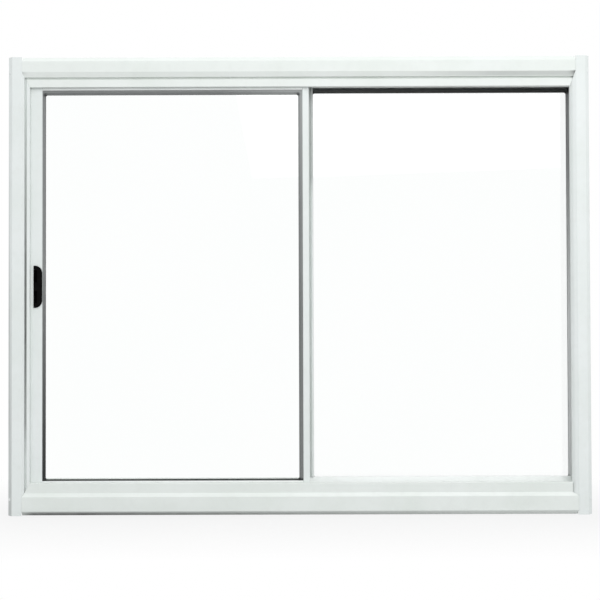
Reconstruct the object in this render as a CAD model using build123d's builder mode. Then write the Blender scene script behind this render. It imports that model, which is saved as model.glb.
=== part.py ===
"""White aluminium window with one sliding sash and one fixed light.

The window is seen from the room. X runs along its width, Z is up, and Y runs from the room
(negative) to the outside (positive). The origin is the middle of the sill's underside, where
the frame stands on the wall. Sizes are in millimetres.

Each length of extrusion is drawn as the section that a die would give it. On the four frame
sides a section's first coordinate is the distance inwards from the outer edge of the casing,
and its second is the depth. The sash rails and stiles are drawn in the same planes.
"""

from build123d import *
import os

os.makedirs("parts", exist_ok=True)

# The whole window
width = 1500.0
height = 1180.0
frame_depth = 70.0
casing_lap = 34.0  # how far the casing laps over the wall round the opening
frame_wall = 1.8
seam = 0.3  # hairline between two lengths of extrusion that butt
seat = 0.3  # clearance of a piece from what carries it
cut_margin = 1.0  # how far a cut runs on past what it removes

# Casing and channel lip, as distances from the casing's outer edge
casing_bevel = 11.0
casing_return = 9.0  # how far the outer bevel falls back towards the wall
left_flat = 36.0
left_slope = 41.5
left_groove = 47.0
left_lip = 55.0
right_joint = 36.0  # to the joint of the right jamb's casing with the head's and the sill's
right_flat = 34.0
right_shoulder = 43.0
right_shoulder_fall = 3.5  # how far the rounded slope has fallen back at its shoulder
right_lip = 49.5
right_fall = 10.5  # and at the lip
head_flat = 39.0
head_slope = 52.0
head_groove = 58.0
head_lip = 77.5
sill_flat = 48.0
sill_slope = 57.0
sill_lip = 82.0

# Radii of the extrusions' visible edges
bevel_round = 4.0
slope_round = 12.0
edge_round = 1.2
lip_round = 1.4

# Depths, from the room to the outside
face_y = -frame_depth / 2
back_y = frame_depth / 2
lip_set_back = 5.0
groove_set_back = 12.0
sash_share = 0.415  # of the depth between the channel's front and the outer leg
sash_front_clearance = 1.2
middle_gap = 2.0  # between the sash and the middle fin
outer_leg_depth = 8.0
outer_gasket_depth = 3.0
fixed_glass_thickness = 4.0
bead_gap_share = 0.16  # of the depth behind the fin, left free in front of the beads
fixed_gasket_share = 0.2  # of the same depth, for the inner gasket

# Reach of the fin and the outer legs
middle_fin_reach = 70.0  # from the casing's outer edge
leg_set_back = 3.0  # of the outer legs behind the edge of the clear glass

# Sash: its glazing lips, as distances from the casing's outer edge, and its other sizes
sash_wall = 1.5
lip_tip = 1.8
side_clearance = 4.2  # between the sash and the jamb's web
sash_over_rail = 8.4  # from the top of the roller rail to the sash's underside
sash_top = 58.0  # from the casing's outer edge
stile_lip = 85.0
top_rail_lip = 83.5
bottom_rail_lip = 85.5
pocket_depth = 7.0  # from a glazing lip to the pocket's floor
pocket_overlap = 1.0  # of the pocket's floor with the lips' tips
meeting_right = 25.8  # right edge of the meeting stile, in X
meeting_face = 16.7
pile_slot_width = 6.0
pile_slot_depth = 3.0

# Glass and gaskets
sash_glass_thickness = 4.0
glass_in_pocket = 5.0  # how far the sash glass goes in behind the lips
gasket_in_pocket = 6.0
gasket_corner = 5.0
gasket_show_left = 6.5  # how much of the sash's gasket shows beyond each lip
gasket_show_right = 10.7
gasket_show_top = 11.0
gasket_show_bottom = 3.0
sash_bevel_width = 5.6
gasket_edge = 0.7  # what is left of a gasket's bevel at the glass
fixed_gasket_width = 9.5
fixed_bevel_width = 7.0
fixed_glass_in = 7.0

# Fixed mullion and its hook
mullion_set_in = 1.8  # of its right side behind the meeting stile's edge
mullion_width = 18.0
mullion_nose_reach = 10.0
mullion_set_back = 2.0  # of its front behind the beads' front
hook_wall = 1.5
stile_hook_reach = 5.4
stile_hook_width = 9.8
mullion_hook_inset = 6.0
mullion_hook_width = 8.0
mullion_hook_gap = 1.6

# Glazing beads of the fixed light, and how far its glass shows inside them
bead_wall = 1.3
bead_nose = 3.0
left_slope_share = 0.85  # of the left bead's depth, taken by its slope
bottom_slope_share = 0.65
bead_slope_rise = 15.0
left_bead_face = 12.2
right_bead_face = 4.0
top_bead_face = 36.0
bottom_bead_face = 53.0
fixed_show_left = 0.6
fixed_show_top = 12.5
fixed_drop_bottom = 3.0  # of the gasket's edge below the bottom bead's

# Roller rail and rollers
rail_rise = 10.0
rail_bead = 1.8
wheel_radius = 9.0
wheel_groove_radius = 7.5
wheel_groove_width = 4.6
wheel_groove_draft = 0.5
axle_radius = 2.0
bore_clearance = 0.05
housing_length = 64.0
housing_gap = 0.8  # between a housing and the bottom rail's turned-in walls
housing_cheek = 1.2
housing_drop = 4.0  # how far the housing hangs below the rail
wheel_room = 1.0
rail_return = 3.5  # inward turn of the bottom rail's walls
roller_inset = 110.0  # from a sash edge to the wheel

# Flush latch on the lock stile
latch_width = 22.0  # up to the stile's glazing lip
latch_height = 109.0
latch_stand = 3.5
latch_corner = 19.0
latch_drop = 2.5  # of its middle below the middle of the window's height
latch_small_corner = 1.2
latch_pull_width = 7.4
latch_pull_inset = 2.2
latch_pull_height = 86.0
latch_pull_corner = 3.5
latch_tub_wall = 1.2
latch_tub_depth = 9.0
latch_edge_round = 1.0
slider_length = 22.0
slider_set_back = 0.6

# Fixings
wall_screw_radius = 2.75
wall_screw_spacing = 800.0
corner_screw_radius = 2.0
port_wall = 1.6
port_centre = 41.0  # from the casing's outer edge
port_front_depth = 6.0  # behind the casing's face
port_back_depth = 3.0  # in front of the outer leg
port_gap = 1.6

# Small fittings
weep_count = 4
weep_length = 26.0
weep_height = 5.0
hood_wall = 1.4
hood_depth = 5.0
hood_margin = 4.0
block_length = 60.0
block_inset = 150.0
glass_block_height = 3.2  # of the blocks under the fixed glass
anti_lift_gap = 2.0
anti_lift_side_gap = 2.0
pile_base = 1.3
pile_base_width = 5.0
pile_tuft = 2.0
pile_inset = 6.0

# Places worked out from the sizes above
half = width / 2
bottom_z = -casing_lap
top_z = height - casing_lap
mid_z = (bottom_z + top_z) / 2
web = casing_lap + frame_wall  # inner face of the frame's web
lip_y = face_y + lip_set_back
groove_y = face_y + groove_set_back
channel_y = groove_y + frame_wall
leg_y = back_y - outer_leg_depth
sash_depth = sash_share * (leg_y - channel_y)
sash_front = channel_y + sash_front_clearance
sash_back = sash_front + sash_depth
track_y = (sash_front + sash_back) / 2
tip_front = sash_front + lip_tip
tip_back = sash_back - lip_tip
fin_y = sash_back + middle_gap
fixed_glass_back = leg_y - outer_gasket_depth
fixed_glass_front = fixed_glass_back - fixed_glass_thickness
fixed_gasket_depth = fixed_gasket_share * (leg_y - fin_y)
bead_back = fixed_glass_front - fixed_gasket_depth - seat
bead_front = fin_y + bead_gap_share * (leg_y - fin_y)
sash_glass_front = track_y - sash_glass_thickness / 2
sash_glass_back = track_y + sash_glass_thickness / 2
sash_side = web + side_clearance
rail_top = web + rail_rise + rail_bead
housing_width = sash_depth - 2 * (rail_return + housing_gap)
wheel_width = housing_width - 2 * housing_cheek - wheel_room
sash_bottom = rail_top + sash_over_rail
sash_low = bottom_z + sash_bottom
sash_high = top_z - sash_top
meeting_left = meeting_right - meeting_face
mullion_right = meeting_right - mullion_set_in
mullion_left = mullion_right - mullion_width
mullion_nose = mullion_right + mullion_nose_reach
mullion_front = bead_front + mullion_set_back
latch_z = mid_z - latch_drop
port_radius = corner_screw_radius + port_wall
port_depths = (face_y + port_front_depth, leg_y - port_back_depth)

# Edges of the beads and of the clear glass in the fixed light
bead_edge_left = mullion_right + seam + left_bead_face
bead_edge_right = web + seat + right_bead_face
bead_edge_top = web + seat + top_bead_face
bead_edge_bottom = web + seat + bottom_bead_face
fixed_sight_left = bead_edge_left + fixed_show_left
fixed_sight_right = web + seat + fixed_gasket_width
fixed_sight_top = bead_edge_top + fixed_show_top
fixed_sight_bottom = bead_edge_bottom - fixed_drop_bottom
outer_leg_jamb = fixed_sight_right - leg_set_back
outer_leg_head = fixed_sight_top - leg_set_back
outer_leg_sill = fixed_sight_bottom - leg_set_back
shelf_top = fixed_sight_bottom - fixed_glass_in - glass_block_height
glass_shelf = shelf_top - frame_wall  # underside of the sill's shelf for the fixed glass

# Drawing planes of the four sides: inwards first, then depth
left_side = Plane(origin=(-half, 0, 0), x_dir=(1, 0, 0), z_dir=(0, 0, 1))
sill_side = Plane(origin=(0, 0, bottom_z), x_dir=(0, 0, 1), z_dir=(-1, 0, 0))
head_side = Plane(origin=(0, 0, top_z), x_dir=(0, 0, -1), z_dir=(1, 0, 0))
right_side = Plane(origin=(half, 0, 0), x_dir=(-1, 0, 0), z_dir=(0, 0, -1))


def wall_strip(*points, thick=frame_wall, side=1):
    """Draw a wall of even thickness on the left of a line of points, or on its right for -1."""
    path = [Vector(*point) for point in points]
    runs = [(b - a).normalized() for a, b in zip(path, path[1:])]
    normals = [run.rotate(Axis.Z, 90 * side) for run in runs]
    far = [path[0] + normals[0] * thick]
    for corner, before, after in zip(path[1:], normals, normals[1:]):
        far.append(corner + (before + after) * (thick / (1 + before.dot(after))))
    far.append(path[-1] + normals[-1] * thick)
    Polygon(*path, *reversed(far), align=None)


def block(x_low, x_high, y_low, y_high, z_low, z_high, mode=Mode.ADD):
    """A box given by its faces."""
    corner = (Align.MIN, Align.MIN, Align.MIN)
    with Locations((x_low, y_low, z_low)):
        Box(x_high - x_low, y_high - y_low, z_high - z_low, align=corner, mode=mode)


def soften(section, radius, *corners):
    """Round a section's corners that lie at these points."""
    fillet([section.vertices().sort_by_distance(Vector(*corner))[0] for corner in corners], radius)


def cut_back(hand, x_near, x_far, y_low, z_low, z_high):
    """Cut a jamb away from a depth to the outside, over a stretch of its height."""
    x_low, x_high = sorted((hand * x_near, hand * x_far))
    block(x_low, x_high, y_low, back_y + cut_margin, z_low, z_high, Mode.SUBTRACT)


def keep(name, piece):
    """Label a finished piece and write its file."""
    piece.part.label = name
    export_step(piece.part, f"parts/{name}.step")


def casing_section(section, flat, slope, groove, lip):
    """Casing, shadow groove and channel lip of the left jamb or the head."""
    wall_strip(
        (0, face_y + casing_return),
        (casing_bevel, face_y),
        (flat, face_y),
        (slope, lip_y),
        (slope, groove_y),
        (groove, groove_y),
        (groove, lip_y),
        (lip, lip_y),
        (lip, channel_y),
    )
    wall_strip((casing_lap, groove_y), (lip, groove_y))
    soften(section, bevel_round, (casing_bevel, face_y))
    soften(section, edge_round, (flat, face_y), (slope, lip_y), (groove, lip_y), (lip, lip_y))


def right_casing_section(section):
    """Casing of the right jamb, whose face falls to its lip in one rounded slope."""
    shoulder = (right_shoulder, face_y + right_shoulder_fall)
    lip = (right_lip, face_y + right_fall)
    wall_strip(
        (0, face_y + casing_return),
        (casing_bevel, face_y),
        (right_flat, face_y),
        shoulder,
        lip,
        (right_lip, channel_y),
    )
    wall_strip((casing_lap, groove_y), (right_lip, groove_y))
    soften(section, bevel_round, (casing_bevel, face_y))
    soften(section, slope_round, (right_flat, face_y), shoulder)
    soften(section, edge_round, lip)


def body_section(leg_reach):
    """Web between the casing and the outside, and the hollow outer leg."""
    wall_strip((casing_lap, face_y), (casing_lap, back_y), side=-1)
    leg = [(casing_lap, back_y), (leg_reach, back_y), (leg_reach, leg_y), (casing_lap, leg_y)]
    wall_strip(*leg, side=-1)


def screw_port(depth):
    """Open ring that a corner screw cuts its thread in."""
    with Locations((port_centre, depth)):
        Circle(corner_screw_radius + port_wall)
    with Locations((web - frame_wall / 2, depth)):
        Rectangle(port_centre - web, port_gap + port_wall, align=(Align.MIN, Align.CENTER))
    with Locations((port_centre, depth)):
        Circle(corner_screw_radius, mode=Mode.SUBTRACT)
        slit = corner_screw_radius + 2 * port_wall
        Rectangle(slit, port_gap, align=(Align.MIN, Align.CENTER), mode=Mode.SUBTRACT)


# Where a jamb's casing meets the head's or the sill's: inner corners of both, joined
corner_steps = {
    ("head", -1): [
        (left_flat, head_flat),
        (left_slope, head_slope),
        (left_groove, head_groove),
        (left_lip, head_lip),
    ],
    ("sill", -1): [(left_flat, sill_flat), (left_slope, sill_slope), (left_lip, sill_lip)],
    ("head", 1): [(right_joint, head_flat), (right_lip, head_lip)],
    ("sill", 1): [(right_joint, sill_flat), (right_lip, sill_slope)],
}


def corner_prism(side, shift, on_jamb, hand):
    """Cut the front of a frame side along the corner line, on the jamb's side of it or beyond."""
    steps = corner_steps[side, hand]
    line = [(steps[0][0] + shift, -cut_margin)] + [(u + shift, v) for u, v in steps]
    reach = 2 * sill_lip
    end_u, end_v = line[-1]
    if on_jamb:
        outline = line + [(reach, end_v), (reach, -cut_margin)]
    else:
        outline = line + [(end_u, reach), (-cut_margin, reach), (-cut_margin, -cut_margin)]
    sign = -1 if side == "head" else 1
    base = top_z if side == "head" else bottom_z
    with BuildSketch(Plane.XZ.offset(-channel_y)) as cut:
        Polygon(*[(hand * (half - u), base + sign * v) for u, v in outline], align=None)
    extrude(cut.sketch, amount=channel_y - face_y + cut_margin, mode=Mode.SUBTRACT)


# Frame: jambs run the full height, and the head and sill are coped between them
for name, hand, plane in (
    ("jamb_left", -1, left_side.offset(bottom_z)),
    ("jamb_right", 1, right_side.offset(-top_z)),
):
    with BuildPart() as jamb:
        with BuildSketch(plane) as section:
            if hand < 0:
                casing_section(section, left_flat, left_slope, left_groove, left_lip)
            else:
                right_casing_section(section)
            body_section(outer_leg_jamb)
        extrude(amount=height)
        for side in ("head", "sill"):
            corner_prism(side, -seam / 2, True, hand)
        inside = half - casing_lap + cut_margin
        behind_casing = face_y + frame_wall
        for low, high in (
            (bottom_z - cut_margin, 0),
            (top_z - casing_lap, top_z + cut_margin),
        ):
            cut_back(hand, 0, inside, behind_casing, low, high)
        for low, high in (
            (-cut_margin, bottom_z + outer_leg_sill + seam),
            (top_z - outer_leg_head - seam, top_z),
        ):
            cut_back(hand, 0, half - web, channel_y, low, high)
        with BuildSketch(Plane.YZ.offset(hand * half)):
            with Locations(*[(track_y, mid_z + s * wall_screw_spacing / 2) for s in (-1, 1)]):
                Circle(wall_screw_radius)
            for depth in port_depths:
                with Locations((depth, bottom_z + port_centre), (depth, top_z - port_centre)):
                    Circle(corner_screw_radius + bore_clearance)
        extrude(amount=-hand * left_lip, mode=Mode.SUBTRACT)
    keep(name, jamb)

between_webs = half - web - seam

with BuildPart() as head_track:
    with BuildSketch(head_side) as section:
        casing_section(section, head_flat, head_slope, head_groove, head_lip)
        body_section(outer_leg_head)
        wall_strip((casing_lap, fin_y), (middle_fin_reach, fin_y))
        for depth in port_depths:
            screw_port(depth)
    extrude(amount=between_webs, both=True)
    for hand in (-1, 1):
        corner_prism("head", seam / 2, False, hand)
keep("head_track", head_track)

with BuildPart() as sill_track:
    with BuildSketch(sill_side) as section:
        wall_strip(
            (0, face_y + casing_return),
            (casing_bevel, face_y),
            (sill_flat, face_y),
            (sill_slope, lip_y),
            (sill_lip, lip_y),
            (sill_lip, channel_y),
        )
        wall_strip((casing_lap, groove_y), (sill_lip, groove_y))
        body_section(outer_leg_sill)
        wall_strip((casing_lap, fin_y), (middle_fin_reach, fin_y))
        wall_strip((glass_shelf, leg_y + frame_wall / 2), (glass_shelf, bead_back))
        with Locations((web, track_y)):
            Rectangle(rail_rise, frame_wall, align=(Align.MIN, Align.CENTER))
        with Locations((web + rail_rise, track_y)):
            Circle(rail_bead)
        for depth in port_depths:
            screw_port(depth)
        soften(section, bevel_round, (casing_bevel, face_y))
        soften(section, edge_round, (sill_flat, face_y), (sill_slope, lip_y))
        soften(section, lip_round, (sill_lip, lip_y))
    extrude(amount=between_webs, both=True)
    for hand in (-1, 1):
        corner_prism("sill", seam / 2, False, hand)
    weep_pitch = 2 * half / weep_count
    with BuildSketch(Plane.XZ.offset(-leg_y + cut_margin)):
        with GridLocations(weep_pitch, 1, weep_count, 1):
            with Locations((0, frame_wall + weep_height / 2)):
                SlotOverall(weep_length, weep_height)
    extrude(amount=-outer_leg_depth - 2 * cut_margin, mode=Mode.SUBTRACT)
keep("sill_track", sill_track)

# Fixed light: mullion, beads, glass and gaskets
with BuildPart() as fixed_mullion:
    with BuildSketch(Plane.XY.offset(bottom_z + web + seat)):
        outline = [
            (mullion_left, mullion_front),
            (mullion_right, mullion_front),
            (mullion_right, leg_y),
            (mullion_nose, leg_y),
            (mullion_nose, back_y),
            (mullion_left, back_y),
        ]
        Polygon(*outline, align=None)
        offset(amount=-frame_wall, kind=Kind.INTERSECTION, mode=Mode.SUBTRACT)
        hook_y = sash_back + mullion_hook_gap
        mullion_hook_left = mullion_left + mullion_hook_inset
        wall_strip(
            (mullion_hook_left, mullion_front + hook_wall),
            (mullion_hook_left, hook_y),
            (mullion_hook_left + mullion_hook_width, hook_y),
            thick=hook_wall,
        )
    extrude(amount=height - 2 * web - 2 * seat)
    fin_end = middle_fin_reach + anti_lift_gap
    port_end = port_centre + port_radius + seat
    for y_low, y_high, low, high in (
        (hook_y - cut_margin, mullion_front, bottom_z, bottom_z + fin_end),
        (hook_y - cut_margin, mullion_front, top_z - fin_end, top_z),
        (bead_back, back_y + cut_margin, bottom_z, bottom_z + shelf_top + seat),
        (leg_y - seat, back_y + cut_margin, bottom_z, bottom_z + outer_leg_sill + seam),
        (leg_y - seat, back_y + cut_margin, top_z - outer_leg_head - seam, top_z),
        (port_depths[1] - port_radius - seat, back_y + cut_margin, top_z - port_end, top_z),
    ):
        x_low = mullion_left - cut_margin
        block(x_low, mullion_nose + cut_margin, y_low, y_high, low, high, Mode.SUBTRACT)
keep("fixed_mullion", fixed_mullion)


def bead_section(section, base, *front):
    """Hollow glazing bead that stands on its base, with its visible corners in order to the glass."""
    edge = front[-1][0]
    wall_strip((base, bead_back), *front, (edge, bead_back), thick=bead_wall)
    soften(section, edge_round, *front[1:])


bead_x_low = mullion_right + seam
bead_x_high = half - web - seat
bead_z_low = bottom_z + bead_edge_bottom + seam
bead_z_high = top_z - bead_edge_top - seam
bead_foot = web + seat
left_slope_back = bead_front + left_slope_share * (bead_back - bead_front)
bottom_slope_back = bead_front + bottom_slope_share * (bead_back - bead_front)

with BuildPart() as fixed_bead_bottom:
    with BuildSketch(sill_side.offset(-bead_x_high)) as section:
        bead_section(
            section,
            bead_foot,
            (bead_foot, bead_front),
            (bead_edge_bottom - bead_slope_rise, bead_front),
            (bead_edge_bottom, bottom_slope_back),
        )
    extrude(amount=bead_x_high - bead_x_low)
keep("fixed_bead_bottom", fixed_bead_bottom)

with BuildPart() as fixed_bead_top:
    with BuildSketch(head_side.offset(bead_x_low)) as section:
        bead_section(
            section,
            bead_foot,
            (bead_foot, bead_front),
            (bead_edge_top - bead_nose, bead_front),
            (bead_edge_top, bead_front + bead_nose),
        )
    extrude(amount=bead_x_high - bead_x_low)
keep("fixed_bead_top", fixed_bead_top)

with BuildPart() as fixed_bead_right:
    with BuildSketch(right_side.offset(-bead_z_high)):
        wall_strip(
            (bead_foot, bead_back),
            (bead_foot, bead_front),
            (bead_edge_right, bead_front),
            (bead_edge_right, bead_back),
            thick=bead_wall,
        )
    extrude(amount=bead_z_high - bead_z_low)
keep("fixed_bead_right", fixed_bead_right)

with BuildPart() as fixed_bead_left:
    with BuildSketch(Plane.XY.offset(bead_z_low)) as section:
        bead_section(
            section,
            bead_x_low,
            (bead_x_low, left_slope_back),
            (bead_edge_left - bead_nose, bead_front),
            (bead_edge_left, bead_front + bead_nose),
        )
    extrude(amount=bead_z_high - bead_z_low)
keep("fixed_bead_left", fixed_bead_left)

# Clear openings of the two lights: left, right, low and high edges
sash_lips = (-half + stile_lip, meeting_left, bottom_z + bottom_rail_lip, top_z - top_rail_lip)
sash_sight = (
    -half + stile_lip + gasket_show_left,
    meeting_left - gasket_show_right,
    bottom_z + bottom_rail_lip + gasket_show_bottom,
    top_z - top_rail_lip - gasket_show_top,
)
fixed_sight = (
    fixed_sight_left,
    half - fixed_sight_right,
    bottom_z + fixed_sight_bottom,
    top_z - fixed_sight_top,
)


def grown(frame, reach):
    """A rectangle's edges, moved outwards."""
    left, right, low, high = frame
    return (left - reach, right + reach, low - reach, high + reach)


def panel(frame, corner=0.0, mode=Mode.ADD):
    """A rectangle given by its edges, with round corners where a radius is given."""
    left, right, low, high = frame
    with Locations(((left + right) / 2, (low + high) / 2)):
        if corner:
            RectangleRounded(right - left, high - low, corner, mode=mode)
        else:
            Rectangle(right - left, high - low, mode=mode)


with BuildPart() as fixed_glass:
    with BuildSketch(Plane.XZ.offset(-fixed_glass_back)):
        panel(grown(fixed_sight, fixed_glass_in))
    extrude(amount=fixed_glass_thickness)
keep("fixed_glass", fixed_glass)

with BuildPart() as sash_glass:
    with BuildSketch(Plane.XZ.offset(-sash_glass_back)):
        panel(grown(sash_lips, glass_in_pocket))
    extrude(amount=sash_glass_thickness)
keep("sash_glass", sash_glass)

# A gasket runs round its light in one piece, with a bevel that falls towards the glass
gaskets = (
    ("fixed_gasket_inner", fixed_sight, fixed_gasket_width, bead_back + seat, fixed_glass_front, -1),
    ("fixed_gasket_outer", fixed_sight, fixed_gasket_width, fixed_glass_back, leg_y, 0),
    ("sash_gasket_inner", sash_sight, 0, tip_front, sash_glass_front, -1),
    ("sash_gasket_outer", sash_sight, 0, sash_glass_back, tip_back, 1),
)
for name, sight, gasket_width, y_low, y_high, bevel_side in gaskets:
    rim = grown(sight, gasket_width) if gasket_width else grown(sash_lips, gasket_in_pocket)
    bevel = fixed_bevel_width if gasket_width else sash_bevel_width
    with BuildPart() as gasket:
        with BuildSketch(Plane.XZ.offset(-y_high)):
            panel(rim)
            panel(sight, gasket_corner, Mode.SUBTRACT)
        extrude(amount=y_high - y_low)
        if bevel_side:
            free_face = gasket.faces().sort_by(Axis.Y)[0 if bevel_side < 0 else -1]
            loop = free_face.inner_wires()[0].edges()
            chamfer(loop, bevel, y_high - y_low - gasket_edge, reference=free_face)
    keep(name, gasket)

# Sash: stiles run the full height, and the rails fit between their lips
pocket_front = tip_front - pocket_overlap
pocket_back = tip_back + pocket_overlap

with BuildPart() as sash_lock_stile:
    with BuildSketch(left_side.offset(sash_low)) as section:
        slot_low = track_y - pile_slot_width / 2
        slot_high = track_y + pile_slot_width / 2
        slot_floor = sash_side + pile_slot_depth
        wall_strip(
            (stile_lip, tip_front),
            (stile_lip, sash_front),
            (sash_side, sash_front),
            (sash_side, slot_low),
            (slot_floor, slot_low),
            (slot_floor, slot_high),
            (sash_side, slot_high),
            (sash_side, sash_back),
            (stile_lip, sash_back),
            (stile_lip, tip_back),
            thick=sash_wall,
            side=-1,
        )
        floor = stile_lip - pocket_depth
        wall_strip((floor, pocket_front), (floor, pocket_back), thick=sash_wall)
        soften(section, lip_round, (stile_lip, sash_front), (stile_lip, sash_back))
    extrude(amount=sash_high - sash_low)
    latch_low_x = -half + stile_lip - latch_width
    pull_x = latch_low_x + latch_pull_inset + latch_pull_width / 2
    tub_width = latch_pull_width + 2 * latch_tub_wall
    tub_height = latch_pull_height + 2 * latch_tub_wall
    with BuildSketch(Plane.XZ.offset(-sash_front - sash_wall - cut_margin)):
        with Locations((pull_x, latch_z)):
            Rectangle(tub_width + seat, tub_height + seat)
    extrude(amount=sash_wall + 2 * cut_margin, mode=Mode.SUBTRACT)
keep("sash_lock_stile", sash_lock_stile)

with BuildPart() as sash_meeting_stile:
    with BuildSketch(Plane.XY.offset(sash_low)) as section:
        hook_left = meeting_right - stile_hook_width
        hook_back = sash_back + stile_hook_reach
        wall_strip(
            (meeting_left, tip_front),
            (meeting_left, sash_front),
            (meeting_right, sash_front),
            (meeting_right, hook_back),
            (hook_left, hook_back),
            thick=sash_wall,
        )
        back_lip = [(meeting_right, sash_back), (meeting_left, sash_back), (meeting_left, tip_back)]
        wall_strip(*back_lip, thick=sash_wall)
        floor = meeting_left + pocket_depth
        wall_strip((floor, pocket_front), (floor, pocket_back), thick=sash_wall, side=-1)
        soften(section, lip_round, (meeting_left, sash_front), (meeting_left, sash_back))
        soften(section, lip_round, (meeting_right, sash_front))
    extrude(amount=sash_high - sash_low)
    x_high = meeting_right + cut_margin
    y_high = hook_back + cut_margin
    for low, high in (
        (sash_low - cut_margin, bottom_z + fin_end),
        (top_z - fin_end, sash_high + cut_margin),
    ):
        block(meeting_left, x_high, sash_back, y_high, low, high, Mode.SUBTRACT)
keep("sash_meeting_stile", sash_meeting_stile)

rail_low = -half + stile_lip + seam
rail_high = meeting_left - seam

with BuildPart() as sash_top_rail:
    with BuildSketch(head_side.offset(rail_low)) as section:
        wall_strip(
            (top_rail_lip, tip_front),
            (top_rail_lip, sash_front),
            (sash_top, sash_front),
            (sash_top, sash_back),
            (top_rail_lip, sash_back),
            (top_rail_lip, tip_back),
            thick=sash_wall,
            side=-1,
        )
        floor = top_rail_lip - pocket_depth
        wall_strip((floor, pocket_front), (floor, pocket_back), thick=sash_wall)
        soften(section, lip_round, (top_rail_lip, sash_front), (top_rail_lip, sash_back))
    extrude(amount=rail_high - rail_low)
keep("sash_top_rail", sash_top_rail)

with BuildPart() as sash_bottom_rail:
    with BuildSketch(sill_side.offset(-rail_high)) as section:
        for face, tip, turn, side in (
            (sash_front, tip_front, rail_return, -1),
            (sash_back, tip_back, -rail_return, 1),
        ):
            wall_strip(
                (bottom_rail_lip, tip),
                (bottom_rail_lip, face),
                (sash_bottom, face),
                (sash_bottom, face + turn),
                thick=sash_wall,
                side=side,
            )
        floor = bottom_rail_lip - pocket_depth
        wall_strip((floor, pocket_front), (floor, pocket_back), thick=sash_wall)
        soften(section, lip_round, (bottom_rail_lip, sash_front), (bottom_rail_lip, sash_back))
    extrude(amount=rail_high - rail_low)
keep("sash_bottom_rail", sash_bottom_rail)

# Rollers in the bottom rail, on the sill's rail
axle_z = bottom_z + rail_top + seat + wheel_groove_radius
roller_places = [-half + sash_side + roller_inset, meeting_right - roller_inset]
housing_low = sash_low - housing_drop
housing_high = bottom_z + bottom_rail_lip - pocket_depth - sash_wall - seat

with BuildPart() as roller_housings:
    for x in roller_places:
        block(
            x - housing_length / 2,
            x + housing_length / 2,
            track_y - housing_width / 2,
            track_y + housing_width / 2,
            housing_low,
            housing_high,
        )
        slot_half = wheel_width / 2 + wheel_room / 2
        room = wheel_radius + wheel_room
        block(
            x - room,
            x + room,
            track_y - slot_half,
            track_y + slot_half,
            housing_low - cut_margin,
            axle_z + room,
            Mode.SUBTRACT,
        )
    with BuildSketch(Plane.XZ.offset(-track_y)):
        with Locations(*[(x, axle_z) for x in roller_places]):
            Circle(axle_radius + bore_clearance)
    extrude(amount=housing_width, both=True, mode=Mode.SUBTRACT)
keep("roller_housings", roller_housings)

with BuildPart() as roller_axles:
    with BuildSketch(Plane.XZ.offset(-track_y)):
        with Locations(*[(x, axle_z) for x in roller_places]):
            Circle(axle_radius)
    extrude(amount=housing_width / 2, both=True)
keep("roller_axles", roller_axles)

with BuildPart() as roller_wheels:
    for x in roller_places:
        hub = Plane(origin=(x, track_y, axle_z), x_dir=(0, 1, 0), z_dir=(1, 0, 0))
        with BuildSketch(hub):
            inner = axle_radius + bore_clearance
            rim = wheel_width / 2
            groove = wheel_groove_width / 2
            Polygon(
                (-rim, inner),
                (-rim, wheel_radius),
                (-groove, wheel_radius),
                (-groove + wheel_groove_draft, wheel_groove_radius),
                (groove - wheel_groove_draft, wheel_groove_radius),
                (groove, wheel_radius),
                (rim, wheel_radius),
                (rim, inner),
                align=None,
            )
        revolve(axis=Axis((x, track_y, axle_z), (0, 1, 0)))
keep("roller_wheels", roller_wheels)

# Flush latch: a D-shaped case with a finger pull, and the thumb slider in it
with BuildPart() as latch_case:
    with BuildSketch(Plane.XZ.offset(-sash_front)) as latch_outline:
        with Locations((latch_low_x + latch_width / 2, latch_z)):
            Rectangle(latch_width, latch_height)
        fillet(latch_outline.vertices().group_by(Axis.X)[-1], latch_corner)
        fillet(latch_outline.vertices().group_by(Axis.X)[0], latch_small_corner)
    extrude(amount=latch_stand)
    fillet(latch_case.faces().sort_by(Axis.Y)[0].edges(), latch_edge_round)
    with BuildSketch(Plane.XZ.offset(-sash_front)):
        with Locations((pull_x, latch_z)):
            Rectangle(tub_width, tub_height)
    extrude(amount=-latch_tub_depth)
    with BuildSketch(Plane.XZ.offset(-sash_front + latch_stand)):
        with Locations((pull_x, latch_z)):
            RectangleRounded(latch_pull_width, latch_pull_height, latch_pull_corner)
    pull_depth = latch_stand + latch_tub_depth - latch_tub_wall
    extrude(amount=-pull_depth, mode=Mode.SUBTRACT)
keep("latch_case", latch_case)

with BuildPart() as latch_slider:
    slider_back = sash_front + latch_tub_depth - latch_tub_wall - seat
    with BuildSketch(Plane.XZ.offset(-slider_back)):
        with Locations((pull_x, latch_z)):
            RectangleRounded(latch_pull_width - 2 * seat, slider_length, latch_edge_round)
    extrude(amount=slider_back - sash_front + latch_stand - slider_set_back)
keep("latch_slider", latch_slider)

# Small fittings
with BuildPart() as weep_hoods:
    hood_width = weep_length + 2 * hood_margin
    hood_height = frame_wall + weep_height + hood_margin
    for place in range(weep_count):
        x = (place - (weep_count - 1) / 2) * weep_pitch
        block(x - hood_width / 2, x + hood_width / 2, back_y, back_y + hood_depth, 0, hood_height)
        block(
            x - hood_width / 2 + hood_wall,
            x + hood_width / 2 - hood_wall,
            back_y,
            back_y + hood_depth - hood_wall,
            -cut_margin,
            hood_height - hood_wall,
            Mode.SUBTRACT,
        )
keep("weep_hoods", weep_hoods)

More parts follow.
